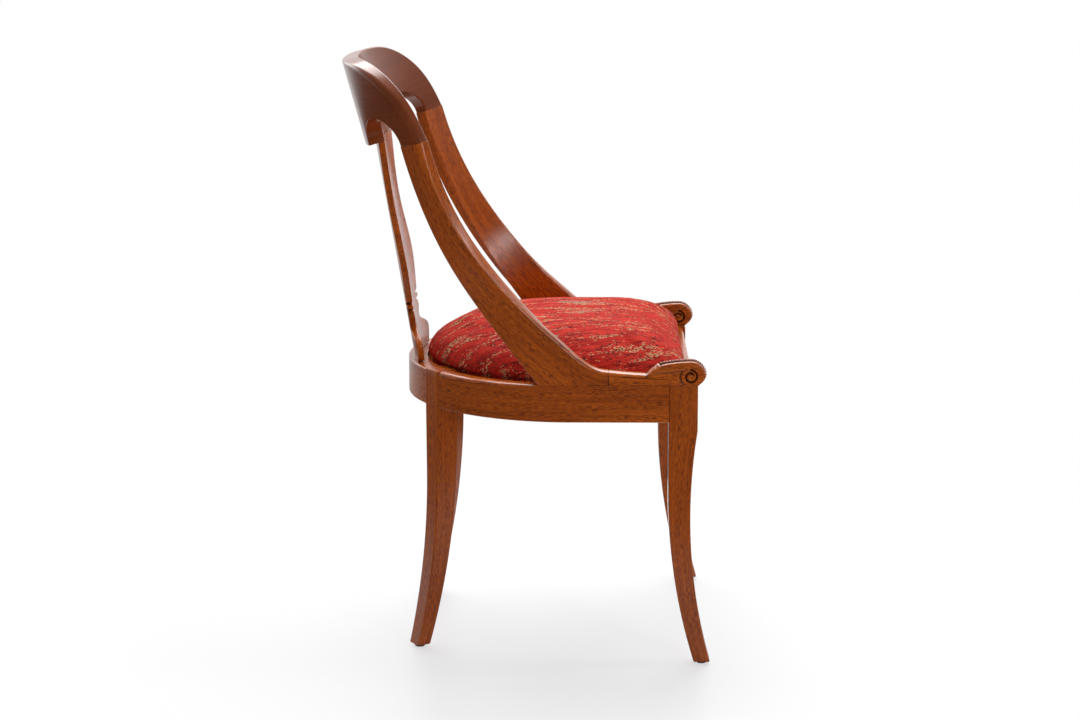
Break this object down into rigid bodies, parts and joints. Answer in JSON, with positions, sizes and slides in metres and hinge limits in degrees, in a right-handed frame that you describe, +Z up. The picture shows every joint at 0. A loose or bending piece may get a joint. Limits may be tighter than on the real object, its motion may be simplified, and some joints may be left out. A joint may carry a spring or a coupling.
{
  "type": "dining chair",
  "caption": "Wooden gondola dining chair with sabre legs, arms sweeping into a curved crest rail, a vase splat, scrolled front blocks and a domed lift-out upholstered seat.",
  "frame": {"origin": "on the floor, under the middle of the chair's bounding box", "axes": "+Z up, the chair faces -Y, +X is to the sitter's left"},
  "size_m": [0.489, 0.5358, 0.8573],
  "materials": {
    "stained_wood": "satin red-brown stain",
    "plain_wood": "plain, unfinished",
    "steel": "plain steel",
    "glide_plastic": "dark, matte",
    "padding": "upholstery padding",
    "woven_cover": "woven, red with pale flecks",
    "lining": "thin dark cloth"
  },
  "bodies": {
    "frame": {"arm_left": "stained_wood", "arm_right": "stained_wood", "back_rail": "stained_wood", "crest_rail": "stained_wood", "front_leg_left": "stained_wood", "front_leg_right": "stained_wood", "front_rail": "stained_wood", "rear_leg_left": "stained_wood", "rear_leg_right": "stained_wood", "scroll_left": "stained_wood", "scroll_right": "stained_wood", "side_rail_left": "stained_wood", "side_rail_right": "stained_wood", "splat": "stained_wood", "corner_block_front_left": "plain_wood", "corner_block_front_right": "plain_wood", "corner_block_rear_left": "plain_wood", "corner_block_rear_right": "plain_wood", "arm_dowels": "plain_wood", "crest_dowels": "plain_wood", "rail_dowels": "plain_wood", "scroll_dowels": "plain_wood", "corner_screws": "steel", "glide_nails": "steel", "glide_front_left": "glide_plastic", "glide_front_right": "glide_plastic", "glide_rear_left": "glide_plastic", "glide_rear_right": "glide_plastic"},
    "seat": {"seat_board": "plain_wood", "seat_pad": "padding", "seat_cover": "woven_cover", "seat_lining": "lining"}
  },
  "joints": [
    {"name": "seat_lift", "type": "slide", "parent": "frame", "child": "seat", "axis": [0, 0, 1], "range_m": [0, 0.47]}
  ]
}
